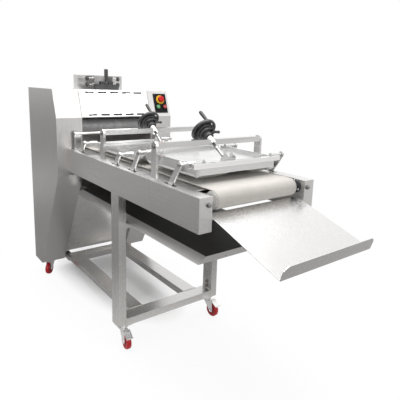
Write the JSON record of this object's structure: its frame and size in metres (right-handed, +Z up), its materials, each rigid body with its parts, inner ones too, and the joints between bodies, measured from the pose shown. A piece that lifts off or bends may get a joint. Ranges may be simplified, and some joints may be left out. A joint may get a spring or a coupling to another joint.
{
  "type": "baguette moulder",
  "caption": "Free-standing baguette moulder: roll head on two steel columns, belt table with swinging pressure boards, slide-out tray, hinged outlet chute and casters.",
  "frame": {"origin": "floor level under the middle of the overall length and width", "axes": "+X towards the outlet chute, +Y towards the side with the control panel, +Z up"},
  "size_m": [2.1681, 0.778, 1.429],
  "materials": {
    "steel": "brushed stainless sheet",
    "bright": "bright satin metal",
    "black": "black moulded plastic",
    "black_metal": "black enamel",
    "dark_roll": "dark non-stick cover",
    "tray_black": "black non-stick coat",
    "belt_cloth": "woven cream belting",
    "white_roll": "white plastic",
    "yellow": "yellow plastic",
    "red": "red plastic",
    "green": "green plastic",
    "red_wheel": "red polyurethane",
    "zinc": "bright zinc plate"
  },
  "bodies": {
    "frame": {"near_column": "steel", "far_column": "steel", "rear_panel": "steel", "lower_panel": "steel", "top_panel": "steel", "hopper_frame": "steel", "gap_block": "black", "gearmotor": "black_metal", "control_plate": "black", "estop_ring": "yellow", "near_rail": "steel", "far_rail": "steel", "bed_plate": "steel", "belt": "belt_cloth", "bridge_rear": "steel", "bridge_front": "steel", "screw_housings": "black", "stand": "steel", "mat_bar": "steel", "frame_bolts": "zinc"},
    "guide_near": {"guide_near": "steel", "knobs_near": "black"},
    "guide_far": {"guide_far": "steel", "knobs_far": "black"},
    "head_cover": {"head_cover": "steel"},
    "gap_lever": {"gap_lever": "black"},
    "roll_rear": {"roll_rear": "dark_roll"},
    "roll_front": {"roll_front": "dark_roll"},
    "roll_press": {"roll_press": "dark_roll"},
    "drive_roller": {"drive_roller": "dark_roll"},
    "end_roller": {"end_roller": "white_roll"},
    "estop_head": {"estop_head": "red"},
    "start_button": {"start_button": "green"},
    "stop_button": {"stop_button": "red"},
    "arm_rear_a": {"arm_rear_a": "steel"},
    "arm_rear_b": {"arm_rear_b": "steel"},
    "board_rear": {"board_rear": "bright"},
    "screw_tube_rear": {"screw_tube_rear": "zinc"},
    "handwheel_rear": {"handwheel_rear": "black"},
    "crank_rear": {"crank_rear": "black"},
    "lock_rear": {"lock_rear": "black"},
    "arm_front_a": {"arm_front_a": "steel"},
    "arm_front_b": {"arm_front_b": "steel"},
    "board_front": {"board_front": "bright"},
    "screw_tube_front": {"screw_tube_front": "zinc"},
    "handwheel_front": {"handwheel_front": "black"},
    "crank_front": {"crank_front": "black"},
    "lock_front": {"lock_front": "black"},
    "tray": {"tray": "tray_black"},
    "chute": {"chute": "steel"},
    "fork_near_front": {"fork_near_front": "zinc"},
    "wheel_near_front": {"wheel_near_front": "red_wheel"},
    "pedal_near": {"pedal_near": "zinc"},
    "fork_far_front": {"fork_far_front": "zinc"},
    "wheel_far_front": {"wheel_far_front": "red_wheel"},
    "pedal_far": {"pedal_far": "zinc"},
    "fork_near_rear": {"fork_near_rear": "zinc"},
    "wheel_near_rear": {"wheel_near_rear": "red_wheel"},
    "fork_far_rear": {"fork_far_rear": "zinc"},
    "wheel_far_rear": {"wheel_far_rear": "red_wheel"}
  },
  "joints": [
    {"name": "cover_hinge", "type": "hinge", "parent": "frame", "child": "head_cover", "pos_m": [-0.61667, 0, 1.2935], "axis": [0, -1, 0], "range_deg": [0, 75]},
    {"name": "guide_near_slide", "type": "slide", "parent": "frame", "child": "guide_near", "axis": [0, 1, 0], "range_m": [0, 0.019]},
    {"name": "guide_far_slide", "type": "slide", "parent": "frame", "child": "guide_far", "axis": [0, -1, 0], "range_m": [0, 0.019]},
    {"name": "gap_lever_pivot", "type": "hinge", "parent": "frame", "child": "gap_lever", "pos_m": [-0.72517, 0, 1.336], "axis": [0, 1, 0], "range_deg": [-25, 25]},
    {"name": "roll_rear_spin", "type": "hinge", "parent": "frame", "child": "roll_rear", "pos_m": [-0.86317, 0, 1.078], "axis": [0, 1, 0], "continuous": true},
    {"name": "roll_front_spin", "type": "hinge", "parent": "frame", "child": "roll_front", "pos_m": [-0.73917, 0, 1.078], "axis": [0, 1, 0], "continuous": true},
    {"name": "roll_press_spin", "type": "hinge", "parent": "frame", "child": "roll_press", "pos_m": [-0.62717, 0, 1.072], "axis": [0, 1, 0], "continuous": true},
    {"name": "drive_roller_spin", "type": "hinge", "parent": "frame", "child": "drive_roller", "pos_m": [-0.70317, 0, 0.9196], "axis": [0, 1, 0], "continuous": true},
    {"name": "end_roller_spin", "type": "hinge", "parent": "frame", "child": "end_roller", "pos_m": [0.67783, 0, 0.9196], "axis": [0, 1, 0], "continuous": true},
    {"name": "estop_press", "type": "slide", "parent": "frame", "child": "estop_head", "axis": [-0.941, 0, -0.3385], "range_m": [0, 0.004]},
    {"name": "start_press", "type": "slide", "parent": "frame", "child": "start_button", "axis": [-0.941, 0, -0.3385], "range_m": [0, 0.0035], "stiffness_N_per_m": 500},
    {"name": "stop_press", "type": "slide", "parent": "frame", "child": "stop_button", "axis": [-0.941, 0, -0.3385], "range_m": [0, 0.0035], "stiffness_N_per_m": 500},
    {"name": "arm_rear_a_swing", "type": "hinge", "parent": "frame", "child": "arm_rear_a", "pos_m": [-0.4728, 0, 0.905], "axis": [0, 1, 0], "range_deg": [-8, 4]},
    {"name": "arm_rear_b_swing", "type": "hinge", "parent": "frame", "child": "arm_rear_b", "pos_m": [-0.03872, 0, 0.905], "axis": [0, 1, 0], "range_deg": [-8, 4]},
    {"name": "board_rear_level", "type": "hinge", "parent": "arm_rear_a", "child": "board_rear", "pos_m": [-0.39523, 0, 1.00429], "axis": [0, 1, 0], "range_deg": [-4, 8]},
    {"name": "screw_tube_rear_slide", "type": "slide", "parent": "frame", "child": "screw_tube_rear", "axis": [0.788, 0, -0.6157], "range_m": [-0.01799, 0.0092]},
    {"name": "handwheel_rear_turn", "type": "hinge", "parent": "frame", "child": "handwheel_rear", "pos_m": [-0.12319, 0, 1.1], "axis": [-0.788, 0, 0.6157], "range_deg": [-639, 322]},
    {"name": "crank_rear_turn", "type": "hinge", "parent": "handwheel_rear", "child": "crank_rear", "pos_m": [-0.14886, 0.00176, 1.1841], "axis": [-0.788, 0, 0.6157], "continuous": true},
    {"name": "lock_rear_turn", "type": "hinge", "parent": "frame", "child": "lock_rear", "pos_m": [-0.14762, 0, 1.11909], "axis": [0.4353, 0.7071, 0.5572], "range_deg": [-25, 25]},
    {"name": "arm_front_a_swing", "type": "hinge", "parent": "frame", "child": "arm_front_a", "pos_m": [0.14055, 0, 0.905], "axis": [0, 1, 0], "range_deg": [-6, 8]},
    {"name": "arm_front_b_swing", "type": "hinge", "parent": "frame", "child": "arm_front_b", "pos_m": [0.46362, 0, 0.905], "axis": [0, 1, 0], "range_deg": [-6, 8]},
    {"name": "board_front_level", "type": "hinge", "parent": "arm_front_a", "child": "board_front", "pos_m": [0.23282, 0, 1.04179], "axis": [0, 1, 0], "range_deg": [-8, 6]},
    {"name": "screw_tube_front_slide", "type": "slide", "parent": "frame", "child": "screw_tube_front", "axis": [0.829, 0, -0.5592], "range_m": [-0.01768, 0.02344]},
    {"name": "handwheel_front_turn", "type": "hinge", "parent": "frame", "child": "handwheel_front", "pos_m": [0.38679, 0, 1.1], "axis": [-0.829, 0, 0.5592], "range_deg": [-628, 835]},
    {"name": "crank_front_turn", "type": "hinge", "parent": "handwheel_front", "child": "crank_front", "pos_m": [0.35532, 0.00176, 1.1821], "axis": [-0.829, 0, 0.5592], "continuous": true},
    {"name": "lock_front_turn", "type": "hinge", "parent": "frame", "child": "lock_front", "pos_m": [0.36109, 0, 1.11733], "axis": [0.3954, 0.7071, 0.5862], "range_deg": [-25, 25]},
    {"name": "tray_slide", "type": "slide", "parent": "frame", "child": "tray", "axis": [1, 0, 0], "range_m": [0, 0.3]},
    {"name": "chute_hinge", "type": "hinge", "parent": "frame", "child": "chute", "pos_m": [0.70483, 0, 0.8612], "axis": [0, -1, 0], "range_deg": [0, 60]},
    {"name": "swivel_near_front", "type": "hinge", "parent": "frame", "child": "fork_near_front", "pos_m": [0.06083, -0.2785, 0.06], "axis": [0, 0, 1], "continuous": true},
    {"name": "roll_near_front", "type": "hinge", "parent": "fork_near_front", "child": "wheel_near_front", "pos_m": [0.10061, -0.28268, 0.04], "axis": [0.1045, 0.9945, 0], "continuous": true},
    {"name": "pedal_near_press", "type": "hinge", "parent": "fork_near_front", "child": "pedal_near", "pos_m": [0.10061, -0.28268, 0.095], "axis": [0.1045, 0.9945, 0], "range_deg": [0, 10]},
    {"name": "swivel_far_front", "type": "hinge", "parent": "frame", "child": "fork_far_front", "pos_m": [0.06083, 0.2785, 0.06], "axis": [0, 0, 1], "continuous": true},
    {"name": "roll_far_front", "type": "hinge", "parent": "fork_far_front", "child": "wheel_far_front", "pos_m": [0.10061, 0.28268, 0.04], "axis": [-0.1045, 0.9945, 0], "continuous": true},
    {"name": "pedal_far_press", "type": "hinge", "parent": "fork_far_front", "child": "pedal_far", "pos_m": [0.10061, 0.28268, 0.095], "axis": [-0.1045, 0.9945, 0], "range_deg": [0, 10]},
    {"name": "swivel_near_rear", "type": "hinge", "parent": "frame", "child": "fork_near_rear", "pos_m": [-1.02117, -0.298, 0.06], "axis": [0, 0, 1], "continuous": true},
    {"name": "roll_near_rear", "type": "hinge", "parent": "fork_near_rear", "child": "wheel_near_rear", "pos_m": [-0.9924, -0.32579, 0.04], "axis": [0.6947, 0.7193, 0], "continuous": true},
    {"name": "swivel_far_rear", "type": "hinge", "parent": "frame", "child": "fork_far_rear", "pos_m": [-1.02117, 0.298, 0.06], "axis": [0, 0, 1], "continuous": true},
    {"name": "roll_far_rear", "type": "hinge", "parent": "fork_far_rear", "child": "wheel_far_rear", "pos_m": [-1.04995, 0.32579, 0.04], "axis": [-0.6947, -0.7193, 0], "continuous": true}
  ],
  "couplings": [
    {"joint": "roll_front_spin", "follows": "roll_rear_spin", "ratio": -1},
    {"joint": "end_roller_spin", "follows": "drive_roller_spin", "ratio": 1},
    {"joint": "arm_rear_b_swing", "follows": "arm_rear_a_swing", "ratio": 1},
    {"joint": "board_rear_level", "follows": "arm_rear_a_swing", "ratio": -1},
    {"joint": "screw_tube_rear_slide", "follows": "arm_rear_a_swing", "m_per_rad": 0.126},
    {"joint": "handwheel_rear_turn", "follows": "arm_rear_a_swing", "ratio": 79.168},
    {"joint": "arm_front_b_swing", "follows": "arm_front_a_swing", "ratio": 1},
    {"joint": "board_front_level", "follows": "arm_front_a_swing", "ratio": -1},
    {"joint": "screw_tube_front_slide", "follows": "arm_front_a_swing", "m_per_rad": 0.165},
    {"joint": "handwheel_front_turn", "follows": "arm_front_a_swing", "ratio": 103.67}
  ]
}
